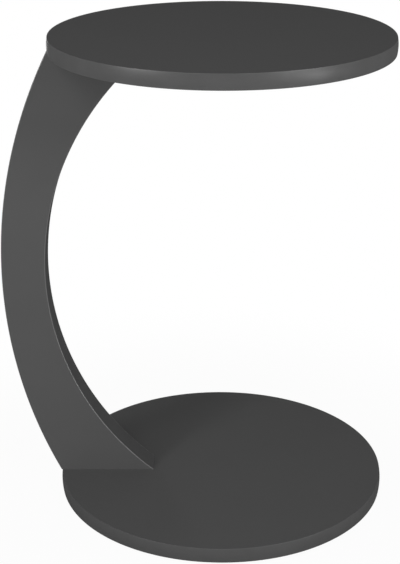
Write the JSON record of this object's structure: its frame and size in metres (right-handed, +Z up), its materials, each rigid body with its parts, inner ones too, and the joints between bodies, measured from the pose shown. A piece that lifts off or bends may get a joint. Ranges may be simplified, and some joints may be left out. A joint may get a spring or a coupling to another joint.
{
  "type": "c-shaped side table",
  "caption": "C-shaped side table: a round top and an equal round base joined at one side by a bowed crescent panel, in dark grey laminated board.",
  "frame": {"origin": "on the floor, under the middle of the table's overall box", "axes": "+Z up, +X towards the open side of the C, +Y to the rear; the crescent panel stands in the XZ plane on the -X side"},
  "size_m": [0.4629, 0.4, 0.574],
  "materials": {
    "board": "matte anthracite laminate, fine textured",
    "edging": "satin anthracite edging strip",
    "fittings": "zinc plated steel",
    "cast_fittings": "plain die-cast zinc",
    "cap": "matte anthracite plastic",
    "dowel": "bare beech",
    "glide": "matte black plastic, glued on"
  },
  "bodies": {
    "root": {"top_board": "board", "base_board": "board", "panel_front_leaf": "board", "panel_rear_leaf": "board", "top_edging": "edging", "base_edging": "edging", "panel_outer_edging": "edging", "panel_inner_edging": "edging", "top_cam_bolts": "fittings", "cam_lock_1": "cast_fittings", "cam_lock_2": "cast_fittings", "cam_cap_1": "cap", "cam_cap_2": "cap", "top_dowels": "dowel", "base_screws": "fittings", "floor_glides": "glide"}
  },
  "joints": []
}
